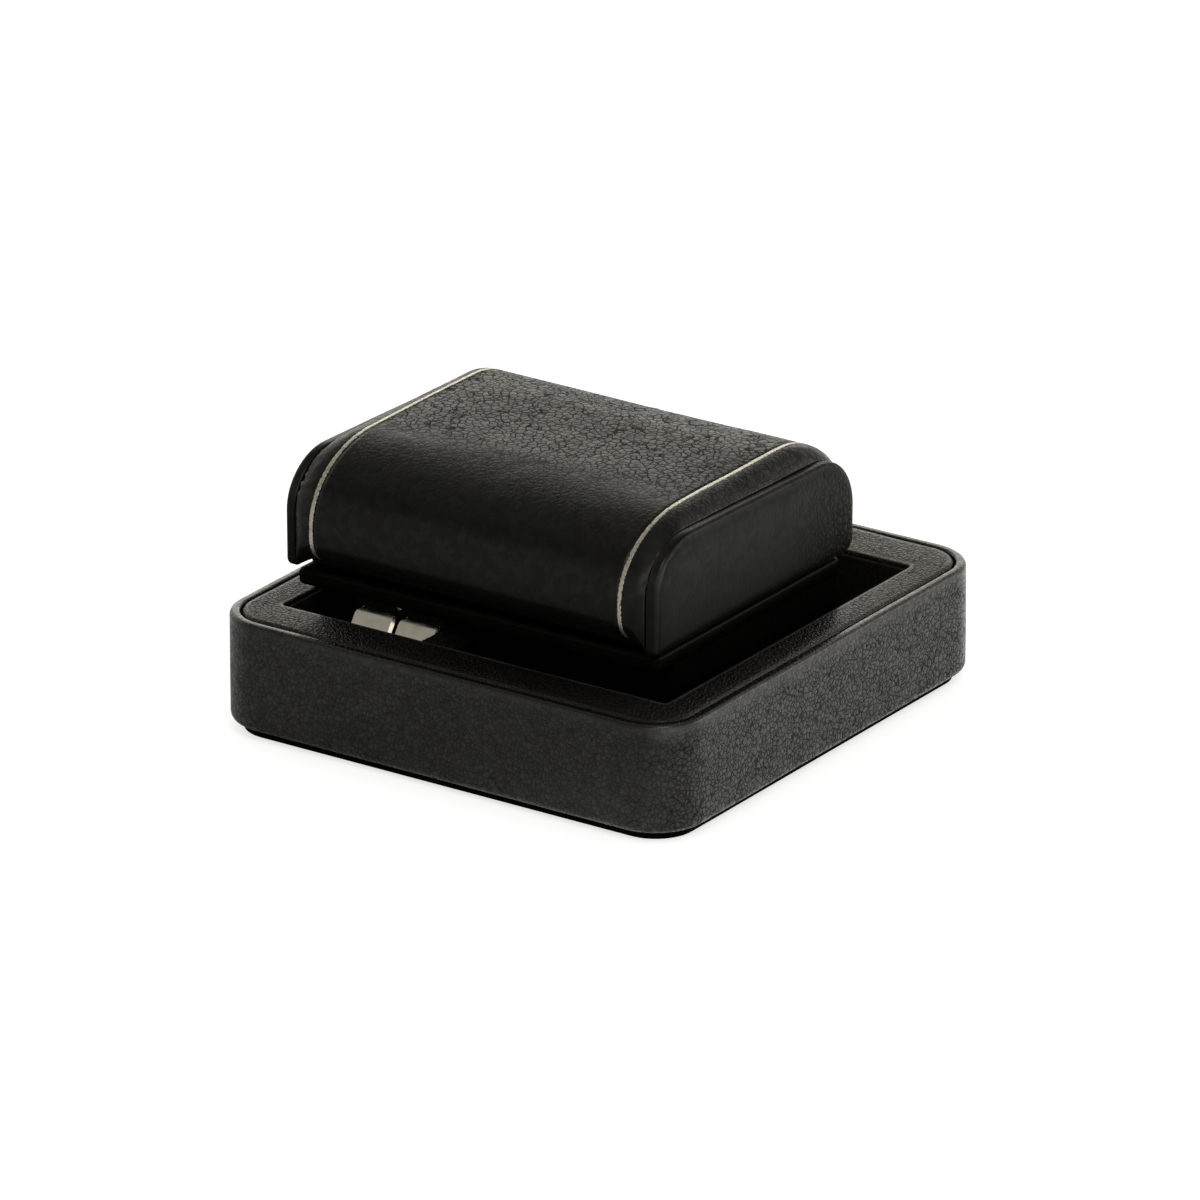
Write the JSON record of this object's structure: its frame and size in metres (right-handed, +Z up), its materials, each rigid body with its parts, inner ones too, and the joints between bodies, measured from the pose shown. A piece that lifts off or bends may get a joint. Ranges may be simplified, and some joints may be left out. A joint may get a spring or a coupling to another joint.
{
  "type": "travel watch stand",
  "caption": "Leather-covered watch stand: a low square base with a suede well, a plinth and a padded lift-off watch cuff with silver lines and end cheeks.",
  "frame": {"origin": "on the resting face of the velvet foot, under the middle of the base", "axes": "+Z up, -Y towards the front where the nickel catch is, +X to the right"},
  "size_m": [0.11, 0.1126, 0.0586],
  "materials": {
    "pebbled_leather": "black pebble-grain leather, semi-matt",
    "black_suede": "black suede, matt",
    "black_velvet": "black velvet, matt",
    "silver_foil": "silver foil on leather, slightly broken by the grain",
    "polished_nickel": "polished nickel plate",
    "blackened_steel": "blackened sheet steel",
    "fibreboard": "raw fibreboard",
    "foam": "open-cell foam",
    "plain_steel": "bright steel"
  },
  "bodies": {
    "base": {"foot_pad": "black_velvet", "plinth_screws": "plain_steel", "base_board": "fibreboard", "wall_core": "fibreboard", "wall_cover": "pebbled_leather", "top_frame_core": "fibreboard", "top_frame_cover": "pebbled_leather", "well_liner_front": "black_suede", "well_liner_back": "black_suede", "well_liner_left": "black_suede", "well_liner_right": "black_suede", "well_floor_pad": "black_suede", "plinth_block": "fibreboard", "plinth_block_cover": "black_suede", "plinth_magnets": "plain_steel", "plinth_top_board": "fibreboard", "plinth_top_cover": "pebbled_leather", "catch_case": "blackened_steel", "catch_spring_left": "plain_steel", "catch_spring_right": "plain_steel", "catch_pin": "plain_steel"},
    "cuff": {"cuff_core": "fibreboard", "cuff_foam": "foam", "cuff_wrap": "pebbled_leather", "cuff_foot": "pebbled_leather", "cuff_magnets": "plain_steel", "cheek_tacks": "plain_steel", "silver_line_left": "silver_foil", "silver_line_right": "silver_foil", "cuff_band_left": "pebbled_leather", "cuff_band_right": "pebbled_leather", "cheek_board_left": "fibreboard", "cheek_board_right": "fibreboard", "cheek_cover_left": "pebbled_leather", "cheek_cover_right": "pebbled_leather"},
    "catch_left": {"catch_tongue_left": "polished_nickel"},
    "catch_right": {"catch_tongue_right": "polished_nickel"}
  },
  "joints": [
    {"name": "cuff_lift", "type": "slide", "parent": "base", "child": "cuff", "axis": [0, 0, 1], "range_m": [0, 0.04]},
    {"name": "catch_left_press", "type": "slide", "parent": "base", "child": "catch_left", "axis": [0, 1, 0], "range_m": [0, 0.0012], "stiffness_N_per_m": 800, "deforming": ["catch_spring_left"]},
    {"name": "catch_right_press", "type": "slide", "parent": "base", "child": "catch_right", "axis": [0, 1, 0], "range_m": [0, 0.0012], "stiffness_N_per_m": 800, "deforming": ["catch_spring_right"]}
  ]
}
